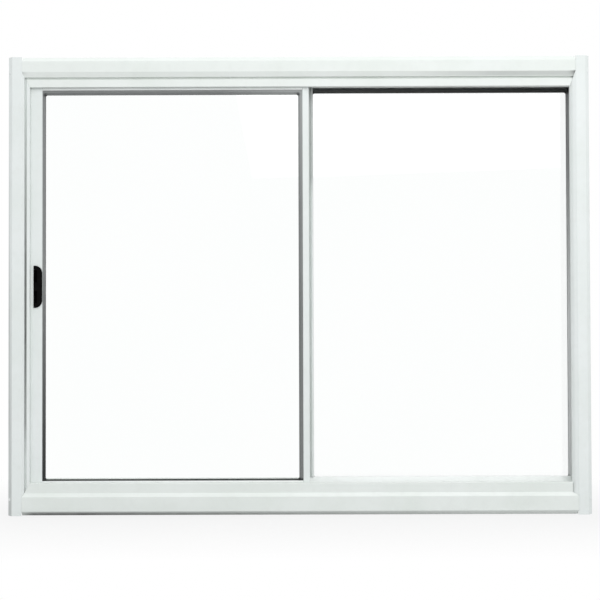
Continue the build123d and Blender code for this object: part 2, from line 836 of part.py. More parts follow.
with BuildPart() as pile_strips:
    low = sash_low + pile_inset
    high = sash_high - pile_inset
    base_half = pile_base_width / 2
    tuft_half = pile_tuft / 2
    floor_x = -half + sash_side + pile_slot_depth
    block(floor_x - pile_base, floor_x, track_y - base_half, track_y + base_half, low, high)
    block(-half + web + seat, floor_x, track_y - tuft_half, track_y + tuft_half, low, high)
    x = mullion_hook_left + mullion_hook_width / 2
    low = bottom_z + fin_end
    high = top_z - fin_end
    block(x - base_half, x + base_half, sash_back, hook_y - seat, low, high)
keep("pile_strips", pile_strips)

with BuildPart() as anti_lift_blocks:
    for x in (-half + sash_side + block_inset, meeting_right - block_inset):
        block(
            x - block_length / 2,
            x + block_length / 2,
            sash_front + anti_lift_side_gap,
            sash_back - anti_lift_side_gap,
            sash_high + anti_lift_gap,
            top_z - web - seat,
        )
keep("anti_lift_blocks", anti_lift_blocks)

sash_glass_edges = grown(sash_lips, glass_in_pocket)
fixed_glass_edges = grown(fixed_sight, fixed_glass_in)
sash_block_height = pocket_depth - glass_in_pocket
for name, edges, block_height, y_low, y_high in (
    ("sash_setting_blocks", sash_glass_edges, sash_block_height, sash_glass_front, sash_glass_back),
    (
        "fixed_setting_blocks",
        fixed_glass_edges,
        glass_block_height,
        fixed_glass_front,
        fixed_glass_back,
    ),
):
    left, right, low, high = edges
    with BuildPart() as setting_blocks:
        for x in (left + block_inset, right - block_inset):
            block(
                x - block_length / 2,
                x + block_length / 2,
                y_low + seat,
                y_high - seat,
                low - block_height,
                low,
            )
    keep(name, setting_blocks)
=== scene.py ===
# %% [markdown]
# # Dressing a white aluminium window
# The metal, glass, rubber and plastic parts of the window are already solid models. This notebook gives
# each of them its finish, adds the small screws and the caps over four of them, and sets up a floor, soft
# light and a camera. It is written for someone who is learning Blender, so each step says what the thing
# is on a real window, how it could be made, and why it is made in this way here.

# %% [markdown]
# ## The solid parts
# Every part comes in at its real size, in metres. X runs along the window's width, Z is up, and Y runs
# from the room to the outside. The parts could be modelled again by hand, but then they would no longer
# agree with the metal sections, so they are loaded and never reshaped. The box round a part can be read,
# and a jamb's box places the screws and the caps later. Nothing that is added later may make the window
# bigger.

# %% Load the window
import math

import bmesh
import bpy
from mathutils import Matrix, Vector


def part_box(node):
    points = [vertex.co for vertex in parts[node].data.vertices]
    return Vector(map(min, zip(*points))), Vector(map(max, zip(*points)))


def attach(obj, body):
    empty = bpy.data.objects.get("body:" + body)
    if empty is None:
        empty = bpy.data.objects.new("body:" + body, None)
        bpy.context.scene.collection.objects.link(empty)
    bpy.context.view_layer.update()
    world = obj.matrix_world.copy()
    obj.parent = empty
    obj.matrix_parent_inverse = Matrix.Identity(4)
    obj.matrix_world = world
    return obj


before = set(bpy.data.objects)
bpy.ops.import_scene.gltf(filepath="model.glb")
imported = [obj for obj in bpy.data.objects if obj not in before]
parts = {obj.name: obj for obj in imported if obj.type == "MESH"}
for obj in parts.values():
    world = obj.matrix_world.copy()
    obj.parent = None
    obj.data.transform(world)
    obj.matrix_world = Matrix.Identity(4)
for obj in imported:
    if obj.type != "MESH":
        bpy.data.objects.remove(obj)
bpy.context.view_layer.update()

# %% [markdown]
# ## Where the camera stands
# The picture was taken from the room, straight in front of the window and level with its middle. Such a
# view could be set by eye, but a view that is worked out from the window's four corners is exact. The
# corners gave a camera 2.4 m away with a lens of 56 mm, which looks up by less than one degree.

# %% Camera
camera_turns = (90.857, 0.185, 0.060)  # degrees about X, Y and Z
camera_data = bpy.data.cameras.new("camera from the room")
camera_data.sensor_width = 36.0
camera_data.lens = 56.03
camera_data.shift_x = 0.0027
camera_data.shift_y = -0.0484
camera = bpy.data.objects.new("camera from the room", camera_data)
camera.location = (0.0, -2.435, 0.556)
camera.rotation_euler = [math.radians(turn) for turn in camera_turns]
bpy.context.scene.collection.objects.link(camera)
bpy.context.scene.camera = camera
print(f"camera at {tuple(camera.location)} with a {camera_data.lens} mm lens")

# %% [markdown]
# ## Arithmetic for shaders
# A material in Blender is a web of small nodes. Placing and linking them by hand takes a dozen lines for
# one sum. Here an output socket is wrapped in a small class that knows plus, minus, times and power, so
# that a sum of two patterns is written as a sum. Any other node comes from one method that takes the
# node's kind, its settings and what goes into its sockets.

# %% Wrap a socket
class Wire:
    """An output socket that can be added, subtracted, multiplied and raised to a power."""

    def __init__(self, finish, socket):
        self.finish = finish
        self.socket = socket

    def maths(self, operation, first, second):
        return self.finish.node("ShaderNodeMath", {"operation": operation}, {0: first, 1: second})

    def __add__(self, other):
        return self.maths("ADD", self, other)

    def __sub__(self, other):
        return self.maths("SUBTRACT", self, other)

    def __rsub__(self, other):
        return self.maths("SUBTRACT", other, self)

    def __mul__(self, other):
        return self.maths("MULTIPLY", self, other)

    def __pow__(self, other):
        return self.maths("POWER", self, other)

    def __abs__(self):
        return self.maths("ABSOLUTE", self, 0.0)

    def or_more(self, other):
        """The larger of the two."""
        return self.maths("MAXIMUM", self, other)

    __radd__ = __add__
    __rmul__ = __mul__


print("sockets can be added, subtracted and multiplied")

# %% One method for every node
class Finish:
    """The nodes of a material, or of the world round the window."""

    def __init__(self, name, owners=bpy.data.materials):
        self.material = owners.new(name)
        self.material.use_nodes = True
        self.tree = self.material.node_tree
        self.tree.nodes.clear()

    def node(self, kind, settings, sockets, output=0):
        """Make a node, set it up, fill its sockets with values or links, and return one output."""
        made = self.tree.nodes.new(kind)
        for name, value in settings.items():
            setattr(made, name, value)
        for name, value in sockets.items():
            if isinstance(value, Wire):
                self.tree.links.new(value.socket, made.inputs[name])
            else:
                made.inputs[name].default_value = value
        return Wire(self, made.outputs[output]) if len(made.outputs) else None

    def place(self, stretch=(1.0, 1.0, 1.0)):
        """Where a point lies on the window, in metres, with each direction scaled."""
        spot = self.node("ShaderNodeTexCoord", {}, {}, "Object")
        return self.node("ShaderNodeMapping", {}, {"Vector": spot, "Scale": stretch})

    def along(self, axis):
        """One coordinate of the place, X, Y or Z, in metres."""
        return self.node("ShaderNodeSeparateXYZ", {}, {"Vector": self.place()}, axis)

    def noise(self, place, size, detail=2.0):
        """Cloudy pattern whose blobs are about that many metres across."""
        return self.node(
            "ShaderNodeTexNoise", {}, {"Vector": place, "Scale": 1.0 / size, "Detail": detail}
        )

    def between(self, pattern, low, high, start=0.35, end=0.65):
        """Turn a pattern's stretch from start to end into a value that runs from low to high."""
        return self.node(
            "ShaderNodeMapRange",
            {},
            {"Value": pattern, "From Min": start, "From Max": end, "To Min": low, "To Max": high},
        )

    def grows(self, pattern, start=0.35, end=0.65):
        """Nought up to the start, one from the end on."""
        return self.between(pattern, 0.0, 1.0, start, end)

    def fades(self, pattern, start, end):
        """One up to the start, nought from the end on."""
        return self.between(pattern, 1.0, 0.0, start, end)

    def blend(self, share, colour_a, colour_b):
        """Mix two colours."""
        return self.node(
            "ShaderNodeMix", {"data_type": "RGBA"}, {0: share, 6: colour_a, 7: colour_b}, 2
        )

    def bump(self, height, depth, strength=1.0):
        """Tilt the surface by a height pattern that is that many metres deep."""
        return self.node(
            "ShaderNodeBump", {}, {"Height": height, "Distance": depth, "Strength": strength}
        )

    def white_rays(self):
        """One for rays that the camera sees straight, in a mirror or through glass, else nought."""
        seen = self.node("ShaderNodeLightPath", {}, {}, "Is Camera Ray")
        mirrored = self.node("ShaderNodeLightPath", {}, {}, "Is Glossy Ray")
        through = self.node("ShaderNodeLightPath", {}, {}, "Is Transmission Ray")
        return seen.or_more(mirrored).or_more(through)

    def paint(self, sockets):
        """Close the material with one surface shader."""
        surface = self.node("ShaderNodeBsdfPrincipled", {}, sockets)
        self.node("ShaderNodeOutputMaterial", {}, {"Surface": surface})
        return self.material


def opaque(red, green, blue):
    """A colour that covers fully."""
    return (red, green, blue, 1.0)


print("shader helpers ready")

# %% [markdown]
# ## White powder coat
# The aluminium is sprayed with white powder that melts into a skin a tenth of a millimetre thick. Close
# to, the skin has a fine ripple, like orange peel, and long faint lines from the die that the metal was
# pushed through. A picture of paint could be wrapped round the parts, but it would need a layout on
# every face. A pattern that reads the place in space needs none, so the ripple is cloudy noise, and the
# die lines are the same noise stretched along the length of each bar. Loose dust lies on the coat in
# small clouds and dulls its shine a little.

# %% Powder coat
tone_cloud = 0.12
dust_cloud = 0.02
dust_patches = (0.5, 0.8)
dust_share = 0.25
dust_dulling = 0.06
dust_colour = opaque(0.71, 0.73, 0.70)
# Painted shade: a near-black colour, thinned in clouds, that is laid on the coat where shade falls.
painted_shade_cloud = 0.06
painted_shade_thinned_to = 0.8
painted_shade_colour = opaque(0.10, 0.105, 0.10)
gloss_cloud = 0.008
satin = (0.42, 0.52)
die_line_width = 0.0012
peel_width = 0.0011
peel_depth = 0.00004
peel_share = 0.7  # of the height, and the die lines have the rest


def white_coat(name, stretch, shade, paler, painted_shade_share):
    """Powder coat between two whites, with painted shade; the stretch runs the die lines along the bar."""
    coat = Finish(name)
    spot = coat.place()
    tone = coat.grows(coat.noise(spot, tone_cloud, 3.0))
    dust = coat.grows(coat.noise(spot, dust_cloud, 4.0), *dust_patches)
    cloud = coat.between(coat.noise(spot, painted_shade_cloud, 3.0), painted_shade_thinned_to, 1.0)
    whites = coat.blend(tone, shade, paler)
    dusty = coat.blend(dust * dust_share, whites, dust_colour)
    # Painted shade: the last blend darkens the coat towards a near-black colour where the masks put shade.
    colour = coat.blend(painted_shade_share(coat) * cloud, dusty, painted_shade_colour)
    die_lines = coat.noise(coat.place(stretch), die_line_width, 3.0)
    peel = coat.noise(spot, peel_width, 2.0)
    gloss = coat.between(coat.noise(spot, gloss_cloud, 3.0), *satin)
    height = peel * peel_share + die_lines * (1.0 - peel_share)
    return coat.paint(
        {
            "Base Color": colour,
            "Roughness": gloss + dust * dust_dulling,
            "Normal": coat.bump(height, peel_depth),
            "Coat Weight": 0.08,
            "Coat Roughness": 0.3,
        }
    )


print("powder coat ready")

# %% [markdown]
# ## Where painted shade lies
# The coat is darkened towards a near-black colour where shade falls: this is painted shade, not dirt. On
# the upright bars it lies in the groove beside the sash, most of all level with the latch, on the outer
# bevels towards the foot, more on the left, and on the bead beside the mullion near its top, in the
# stile's shadow. On the level bars it lies on the bevel under the sill, at both ends of the head's slope,
# and along that slope towards the right. It could be painted on by hand, but each of these places is a
# range of width, depth or height, so each mask is a value that grows or fades over that range. A range
# is written as a pair, where the change starts and where it ends, in metres from the middle of the sill's
# underside. A share says how much of the painted shade's colour shows where a mask is full.

# %% Painted shade on upright bars
groove_share = 0.95
groove_right = (-0.701, -0.699)
groove_mouth = (-0.030, -0.024)
groove_floor = (-0.022, -0.021)
over_the_sill = (0.11, 0.20)
latch_level = 0.48
reach_from_latch_level = 0.55
foot_share = 0.44
outer_bevel = (0.738, 0.741)
foot_to_latch = (-0.05, 0.65)
middle_of_window = (-0.1, 0.1)
right_foot_share = 0.2  # of what the left foot has
bead_share = 0.42
bead_line = 0.0325
beside_bead_line = (0.0025, 0.0050)
bead_front = (0.0055, 0.0060)
top_of_bead = (0.79, 0.84)


# Painted shade: the groove, the outer bevels and the bead beside the mullion are darkened where shade
# falls.
def painted_shade_on_uprights(coat):
    """Painted shade in the sash's groove, on the outer bevels' feet, and beside the mullion near its top.
    """
    across, deep, upward = coat.along("X"), coat.along("Y"), coat.along("Z")
    groove = coat.grows(deep, *groove_mouth) * coat.fades(deep, *groove_floor)
    left_edge = coat.fades(across, *groove_right)
    level_with_latch = coat.fades(abs(upward - latch_level), 0.0, reach_from_latch_level)
    above_sill = coat.grows(upward, *over_the_sill)
    in_groove = groove * left_edge * level_with_latch * above_sill * groove_share
    bevel = coat.grows(abs(across), *outer_bevel)
    towards_foot = coat.between(upward, foot_share, 0.0, *foot_to_latch)
    more_at_left = coat.between(across, 1.0, right_foot_share, *middle_of_window)
    beside_mullion = coat.fades(abs(across - bead_line), *beside_bead_line)
    on_bead = coat.between(deep, 0.0, bead_share, *bead_front) * coat.grows(upward, *top_of_bead)
    return in_groove + bevel * (towards_foot * more_at_left) + beside_mullion * on_bead


print("painted shade on upright bars placed")

# %% Painted shade on level bars
bevel_under_sill = (-0.029, -0.0225)
left_corner = (-0.715, -0.685)
corner_share = 0.3
length_of_sill = (-0.55, 0.75)
quick_fade = 1.4  # a power over one thins the grime sooner
ends_of_head = (0.690, 0.711)
left_end_share = 0.25
right_end_share = 0.55
corner_shade_foot = (1.095, 1.104)
corner_shade_top = (1.107, 1.109)
slope_shade_share = 0.34
slope_shade_foot = (1.0945, 1.097)
slope_shade_top = (1.105, 1.107)
slope_shade_length = (0.25, 0.52)


# Painted shade: the bevel under the sill and the head's down-facing slope are darkened where shade falls.
def painted_shade_on_levels(coat):
    """Painted shade under the sill, more at the left, and on the head's slope, to the right and at its
    ends.
    """
    across, upward = coat.along("X"), coat.along("Z")
    bevel = coat.fades(upward, *bevel_under_sill)
    from_the_corner = coat.between(across, corner_share, 1.0, *left_corner)
    under_sill = bevel * from_the_corner * coat.fades(across, *length_of_sill) ** quick_fade
    near_end = coat.grows(abs(across), *ends_of_head) ** 2
    on_slope = coat.grows(upward, *corner_shade_foot) * coat.fades(upward, *corner_shade_top)
    which_end = coat.between(across, left_end_share, right_end_share, *middle_of_window)
    slope_shade = coat.grows(upward, *slope_shade_foot) * coat.fades(upward, *slope_shade_top)
    towards_right = coat.between(across, 0.0, slope_shade_share, *slope_shade_length)
    return under_sill + near_end * on_slope * which_end + slope_shade * towards_right


print("painted shade on level bars placed")

# %% [markdown]
# ## Three white coats
# One coat could serve the whole window, but the die lines have to run along each bar, and the rails under
# and over the panes are painted paler than the casing, as painted light for the extra light they catch. So
# there are three: one for upright bars, one for the head and the sill, and one for those rails. Each runs
# between two whites that lie close together. The rails take the painted shade of the level bars too.

# %% Make the coats
lines_run_up = (1.0, 1.0, 0.01)
lines_run_level = (0.01, 1.0, 1.0)
upright_coat = white_coat(
    "white coat on upright bars",
    lines_run_up,
    opaque(0.772, 0.812, 0.787),
    opaque(0.808, 0.841, 0.825),
    painted_shade_on_uprights,
)
level_coat = white_coat(
    "white coat on head and sill",
    lines_run_level,
    opaque(0.772, 0.811, 0.771),
    opaque(0.812, 0.845, 0.814),
    painted_shade_on_levels,
)
# Painted light: these whites are paler than the other coats' to stand in for the extra light on the rails.
rails_painted_paler_coat = white_coat(
    "white coat on the rails under and over the panes",
    lines_run_level,
    opaque(0.86, 0.887, 0.865),
    opaque(0.892, 0.915, 0.897),
    painted_shade_on_levels,
)
print("three white coats made")

# %% [markdown]
# ## Clear float glass
# The panes are 4 mm float glass: flat, polished and very slightly green. Glass can be faked with a
# see-through shader, but real refraction bends what is seen near the edges of a pane, which is what makes
# it look thick there. So the surface shader lets all light through with glass's own bending. The colour
# hardly changes over the pane, and the surface has the long, very low waves of float glass.

# %% Glass
tint_cloud = 0.5
waves_run_up = (1.0, 1.0, 0.25)
wave_length = 0.12
wave_depth = 0.00002


def float_glass():
    """Polished glass with a faint green tint and long, low waves."""
    glass = Finish("clear float glass")
    tint = glass.grows(glass.noise(glass.place(), tint_cloud))
    waves = glass.noise(glass.place(waves_run_up), wave_length, 1.0)
    return glass.paint(
        {
            "Base Color": glass.blend(tint, opaque(0.978, 0.992, 0.986), opaque(0.985, 0.995, 0.991)),
            "Roughness": 0.0,
            "IOR": 1.52,
            "Transmission Weight": 1.0,
            "Normal": glass.bump(waves, wave_depth, 0.2),
        }
    )


pane_glass = float_glass()
print("glass made")

# %% [markdown]
# ## Black rubber
# The gaskets are black synthetic rubber, pushed through a die like the metal. Grey is painted on the black
# as painted light, where the rubber's sheen catches the light, and the corners of the clear glass, where
# two lengths are joined, stay black. The grey could be painted on by hand, but it follows simple rules, so
# it is worked out from the place. On the sash it grows with the height and towards the meeting stile, and
# lies on the bottom bar in front of the glass. On the fixed light it is greyest at the foot, and the top
# bar has
# painted shade from the head: it stays dark towards the right.

# %% Rubber with painted light
corner_patch = (0.001, 0.007)  # from a corner of the clear glass
black_at_corner = 0.8
black_rubber = opaque(0.030, 0.032, 0.031)
joint_black = opaque(0.010, 0.011, 0.011)
rubber_smear = 0.006
rubber_dullness = (0.52, 0.66)
rubber_grain = 0.0006
rubber_grain_depth = 0.00006


def rubber(name, opening, painted_light_share, lit_grey):
    """Black with painted light in grey; the opening is the clear glass: left, right, low and high."""
    left, right, low, high = opening
    gum = Finish(name)
    spot = gum.place()
    off_side = abs(gum.along("X") - (left + right) / 2) - (right - left) / 2
    off_end = abs(gum.along("Z") - (low + high) / 2) - (high - low) / 2
    off_corner = (off_side**2 + off_end**2) ** 0.5
    corner = gum.between(off_corner, black_at_corner, 0.0, *corner_patch)
    # Painted light: the share blends the black rubber towards a lit grey.
    bar = gum.blend(painted_light_share(gum), black_rubber, lit_grey)
    smears = gum.noise(spot, rubber_smear, 3.0)
    grain = gum.noise(spot, rubber_grain, 2.0)
    return gum.paint(
        {
            "Base Color": gum.blend(corner, bar, joint_black),
            "Roughness": gum.between(smears, *rubber_dullness),
            "Specular IOR Level": 0.15,
            "Normal": gum.bump(grain, rubber_grain_depth),
        }
    )


cloud_of_the_edge = 0.02
wander_of_the_edge = 0.05


def ragged_height(gum):
    """Height with a cloudy wander of some centimetres, so that the painted grey has no straight edge."""
    clouds = gum.noise(gum.place(), cloud_of_the_edge, 4.0)
    return gum.along("Z") + clouds * wander_of_the_edge


print("rubber ready")

# %% Painted light on the sash's gasket
sash_opening = (-0.6585, -0.0016, 0.0545, 1.0515)
lower_half = (0.05, 0.62)
slow_start = 1.3  # a power over one keeps the foot dark for longer
painted_light_above = 0.65
towards_meeting_stile = (-0.5, -0.05)
over_bottom_corner = (0.0545, 0.0600)
painted_light_at_stile = (0.55, 1.0)
upper_half = (0.7, 1.06)
bottom_bar = (0.0518, 0.0526)
face_of_glass = (-0.0105, -0.0095)


def painted_light_on_sash(gum):
    """Painted light: greyer with the height and towards the meeting stile, and on the bottom bar."""
    across, deep, upward = gum.along("X"), gum.along("Y"), gum.along("Z")
    ragged = ragged_height(gum)
    by_height = gum.grows(ragged, *lower_half) ** slow_start * painted_light_above
    to_the_right = gum.grows(across, *towards_meeting_stile)
    above_corner = gum.grows(upward, *over_bottom_corner)
    by_side = to_the_right * above_corner * gum.between(ragged, *painted_light_at_stile, *upper_half)
    # Painted light on the bottom bar in front of the glass.
    lit_bottom_bar = gum.fades(upward, *bottom_bar) * gum.fades(deep, *face_of_glass)
    return by_height.or_more(by_side).or_more(lit_bottom_bar)


sash_rubber = rubber(
    "rubber of the sash's gasket", sash_opening, painted_light_on_sash, opaque(0.355, 0.365, 0.36)
)
print("rubber of the sash made")

# %% Painted light and shade on the fixed light's gasket
fixed_opening = (0.0371, 0.7044, 0.0521, 1.0614)
painted_light_low = 0.97
painted_light_high = 0.37
middle_to_top = (0.5, 0.92)
top_bar = (1.056, 1.062)
painted_light_on_top_bar = 0.12
length_of_top_bar = (0.2, 0.65)


def painted_light_on_fixed_light(gum):
    """Painted light, greyest at the foot, and painted shade on the top bar towards the right."""
    # Painted shade: the top bar loses its painted grey towards the right, in the shade of the head.
    on_top_bar = gum.between(gum.along("X"), painted_light_on_top_bar, 0.0, *length_of_top_bar)
    by_height = gum.between(ragged_height(gum), painted_light_low, painted_light_high, *middle_to_top)
    return by_height * gum.between(gum.along("Z"), 1.0, on_top_bar, *top_bar)


fixed_rubber = rubber(
    "rubber of the fixed light's gasket",
    fixed_opening,
    painted_light_on_fixed_light,
    opaque(0.66, 0.67, 0.665),
)
print("rubber of the fixed light made")

# %% [markdown]
# ## Moulded plastics
# The latch, the rollers and their housings, the weep hoods, the small blocks and the caps are moulded
# plastic. A mould is etched, so its parts have an even, sandy grain that dulls the shine. Each could have
# its own recipe, but only the colour and the gloss differ, so one recipe serves them all. It takes a
# colour, a second colour for where fingers and dust have been, how rough the surface is, and how much it
# mirrors.

# %% Plastics
finger_cloud = 0.012
finger_patches = (0.45, 0.8)
plastic_smear = 0.004
smear_dulling = 0.1
etched_grain = 0.0004
etched_depth = 0.00003


def moulded(name, colour, worn, roughness=0.42, mirror=0.5):
    """Plastic with an etched grain, in a colour that changes where it is worn."""
    plastic = Finish(name)
    spot = plastic.place()
    wear = plastic.grows(plastic.noise(spot, finger_cloud, 4.0), *finger_patches)
    smears = plastic.noise(spot, plastic_smear, 3.0)
    grain = plastic.noise(spot, etched_grain, 2.0)
    return plastic.paint(
        {
            "Base Color": plastic.blend(wear, colour, worn),
            "Roughness": plastic.between(smears, roughness, roughness + smear_dulling),
            "Specular IOR Level": mirror,
            "Normal": plastic.bump(grain, etched_depth),
        }
    )


latch_black = moulded(
    "black latch plastic", opaque(0.002, 0.002, 0.002), opaque(0.005, 0.005, 0.005), 0.5, 0.04
)
housing_grey = moulded("grey nylon", opaque(0.25, 0.26, 0.27), opaque(0.31, 0.32, 0.33))
wheel_nylon = moulded("pale nylon", opaque(0.72, 0.71, 0.66), opaque(0.62, 0.60, 0.55))
hood_white = moulded("white weep hood plastic", opaque(0.78, 0.80, 0.79), opaque(0.70, 0.72, 0.71))
print("four plastics made")

# %% [markdown]
# ## Pile and steel
# The weather pile is a strip of stiff grey hairs. Thousands of modelled hairs would cost far more than a
# strip that is 2 mm wide is worth, so the hairs are noise that is stretched across the strip. The screws
# and axles are zinc plated steel, whose plating clouds from grey to faintly blue and yellow.

# %% Weather pile
hairs_lie_across = (0.05, 0.05, 1.0)
hair_width = 0.0005
hair_depth = 0.0003


def hairy_pile():
    """Dense hairs that lie across the strip."""
    pile = Finish("grey weather pile")
    hairs = pile.noise(pile.place(hairs_lie_across), hair_width, 3.0)
    shade = pile.grows(hairs)
    return pile.paint(
        {
            "Base Color": pile.blend(shade, opaque(0.20, 0.21, 0.22), opaque(0.42, 0.43, 0.44)),
            "Roughness": 0.95,
            "Normal": pile.bump(hairs, hair_depth),
        }
    )


pile_hair = hairy_pile()
print("pile made")

# %% Plated steel
plating_cloud = 0.003
plating_gloss = (0.26, 0.40)
scratches_run_deep = (1.0, 0.05, 1.0)
scratch_width = 0.0002
scratch_depth = 0.00001


def plated_steel():
    """Zinc plating that clouds from blue grey to yellow grey, with fine scratches."""
    steel = Finish("zinc plated steel")
    cloud = steel.grows(steel.noise(steel.place(), plating_cloud, 4.0))
    scratches = steel.noise(steel.place(scratches_run_deep), scratch_width, 3.0)
    return steel.paint(
        {
            "Base Color": steel.blend(cloud, opaque(0.58, 0.60, 0.64), opaque(0.68, 0.66, 0.60)),
            "Metallic": 1.0,
            "Roughness": steel.between(cloud, *plating_gloss, 0.0, 1.0),
            "Normal": steel.bump(scratches, scratch_depth),
        }
    )


screw_steel = plated_steel()
print("plating made")

# %% [markdown]
# ## Who wears what
# Each solid part keeps its shape and only swaps its material. The upright bars get the coat whose die
# lines run up and down, the head and the sill get the level one, and the rails round the panes the paler
# one. A material is given to the object and not to the mesh behind it, so the mesh stays exactly as it
# was made.

# %% Give every part its finish
finish_of = {
    "jamb_left": upright_coat,
    "jamb_right": upright_coat,
    "fixed_mullion": upright_coat,
    "fixed_bead_left": upright_coat,
    "fixed_bead_right": upright_coat,
    "sash_lock_stile": upright_coat,
    "sash_meeting_stile": upright_coat,
    "head_track": level_coat,
    "sill_track": level_coat,
    "fixed_bead_bottom": rails_painted_paler_coat,
    "fixed_bead_top": rails_painted_paler_coat,
    "sash_top_rail": rails_painted_paler_coat,
    "sash_bottom_rail": rails_painted_paler_coat,
    "fixed_glass": pane_glass,
    "sash_glass": pane_glass,
    "fixed_gasket_inner": fixed_rubber,
    "fixed_gasket_outer": fixed_rubber,
    "sash_gasket_inner": sash_rubber,
    "sash_gasket_outer": sash_rubber,
    "fixed_setting_blocks": fixed_rubber,
    "sash_setting_blocks": sash_rubber,
    "latch_case": latch_black,
    "latch_slider": latch_black,
    "roller_housings": housing_grey,
    "anti_lift_blocks": housing_grey,
    "roller_wheels": wheel_nylon,
    "roller_axles": screw_steel,
    "weep_hoods": hood_white,
    "pile_strips": pile_hair,
}
for name, part in parts.items():
    for slot in part.material_slots:
        slot.link = "OBJECT"
        slot.material = finish_of[name]
print(f"{len(finish_of)} parts finished")

# %% [markdown]
# ## Turned shapes
# A screw's head and a cap are both round. Each could be a cylinder whose rings are pushed about, but it
# is shorter to write half of its outline and to spin that all the way round the axis, as a lathe would.
# Where the outline bends, it is an arc that is cut into even steps.

# %% Lathe
def lathe(mesh, outline, sides):
    """Spin half an outline round the axis; each of its points is a reach and a height."""
    points = [mesh.verts.new((reach, 0.0, height)) for reach, height in outline]
    edges = [mesh.edges.new(pair) for pair in zip(points, points[1:])]
    bmesh.ops.spin(
        mesh,
        geom=points + edges,
        axis=(0.0, 0.0, 1.0),
        cent=(0.0, 0.0, 0.0),
        steps=sides,
        angle=math.tau,
        use_merge=True,
    )


def quarter_turn(steps):
    """Angles from level to upright, in even steps."""
    return [math.radians(90.0 * step / steps) for step in range(steps + 1)]


print("lathe ready")

# %% [markdown]
# ## Corner screws
# The head and the sill are held between the jambs by self-tapping screws with pan heads, which go
# through the jamb into open rings in the bars. A cylinder with a slot would be recognisable, but a pan
# head is a low dome with a cross pressed into it. Its dome is an arc that is spun round the axis. The
# cross is a flat outline with twelve corners, joined to the dome's inner edge by a bridge and then pushed
# in with a taper. The thread is a small triangle that is spun while it climbs.

# %% Head and cross of a screw
head_radius = 0.004
head_height = 0.0024
head_flat_radius = 0.0026
rim_share = 0.45  # of the head's height, below the dome
head_sides = 24
dome_steps = 6
recess_reach = 0.0021
recess_half_width = 0.00045
recess_depth = 0.0013
recess_taper = 0.6
same_spot = 1e-6  # points that are nearer than this count as one


def domed_head(mesh):
    """Spin the dome and return the open ring of edges round its middle."""
    outline = [(head_radius, 0.0)]
    for turn in quarter_turn(dome_steps):
        reach = head_flat_radius + (head_radius - head_flat_radius) * math.cos(turn)
        outline.append((reach, head_height * (rim_share + (1.0 - rim_share) * math.sin(turn))))
    lathe(mesh, outline, head_sides)
    top = max(vertex.co.z for vertex in mesh.verts)
    return [
        edge
        for edge in mesh.edges
        if edge.is_boundary and min(vertex.co.z for vertex in edge.verts) > top - same_spot
    ]


def cross_ring(mesh):
    """Draw the cross as a closed line of twelve corners."""
    long, short = recess_reach, recess_half_width
    quarter = [(long, -short), (long, short), (short, short)]
    corners = []
    for turn in range(4):
        spin = Matrix.Rotation(math.radians(90.0 * turn), 4, "Z")
        corners += [mesh.verts.new(spin @ Vector((x, y, head_height))) for x, y in quarter]
    return [mesh.edges.new(pair) for pair in zip(corners, corners[1:] + corners[:1])]


def sink_cross(mesh, cross):
    """Close the cross with a face and push that face in, with a taper."""
    well = bmesh.ops.edgeloop_fill(mesh, edges=cross)["faces"]
    sunk = bmesh.ops.extrude_face_region(mesh, geom=well)["geom"]
    bmesh.ops.delete(mesh, geom=well, context="FACES_ONLY")
    floor = [item for item in sunk if isinstance(item, bmesh.types.BMVert)]
    bmesh.ops.translate(mesh, verts=floor, vec=(0.0, 0.0, -recess_depth))
    bmesh.ops.scale(mesh, verts=floor, vec=(recess_taper, recess_taper, 1.0))


print(f"screw head {2000 * head_radius:.1f} mm across")

# %% Shank and thread of a screw
shank_length = 0.016
shank_radius = 0.0015
shank_sides = 16
tip_share = 0.77  # of the shank's radius
thread_radius = 0.00195
thread_pitch = 0.0016
thread_half_width = 0.3 * thread_pitch
thread_start = -0.001
thread_short_by = 0.003
steps_in_a_turn = 12


def add_shank(mesh):
    """Hang a slightly tapered shank under the head."""
    shank = bmesh.ops.create_cone(
        mesh,
        cap_ends=True,
        segments=shank_sides,
        radius1=shank_radius * tip_share,
        radius2=shank_radius,
        depth=shank_length,
    )["verts"]
    bmesh.ops.translate(mesh, verts=shank, vec=(0.0, 0.0, -shank_length / 2))


def add_thread(mesh):
    """Spin a small triangle down the shank so that it climbs one pitch each turn."""
    turns = (shank_length - thread_short_by) / thread_pitch
    steps = int(steps_in_a_turn * turns)
    points = [
        (shank_radius, thread_start - thread_half_width),
        (thread_radius, thread_start),
        (shank_radius, thread_start + thread_half_width),
    ]
    corners = [mesh.verts.new((x, 0.0, z)) for x, z in points]
    face = mesh.faces.new(corners)
    bmesh.ops.spin(
        mesh,
        geom=[face] + corners + list(face.edges),
        axis=(0.0, 0.0, 1.0),
        cent=(0.0, 0.0, 0.0),
        dvec=(0.0, 0.0, -thread_pitch / steps_in_a_turn),
        steps=steps,
        angle=math.tau / steps_in_a_turn * steps,
    )


def pan_head_screw():
    """Put head, cross, shank and thread together, with the head's underside at nought."""
    mesh = bmesh.new()
    rim = domed_head(mesh)
    cross = cross_ring(mesh)
    bmesh.ops.bridge_loops(mesh, edges=rim + cross)
    sink_cross(mesh, cross)
    base = [edge for edge in mesh.edges if edge.is_boundary]
    bmesh.ops.edgeloop_fill(mesh, edges=base)
    add_shank(mesh)
    add_thread(mesh)
    bmesh.ops.recalc_face_normals(mesh, faces=mesh.faces)
    return mesh


one_screw = pan_head_screw()
print(f"one screw has {len(one_screw.faces)} faces")

# %% [markdown]
# ## Eight screws in one piece
# The same screw sits four times on each jamb. Eight separate objects would do, but like fasteners are
# handled as a set, so the shape is copied into one mesh. Each copy is turned so that its head faces away
# from the window, and its place is put into the mesh itself.

# %% Copy and settle a piece
smooth_up_to = 35.0  # degrees between two faces


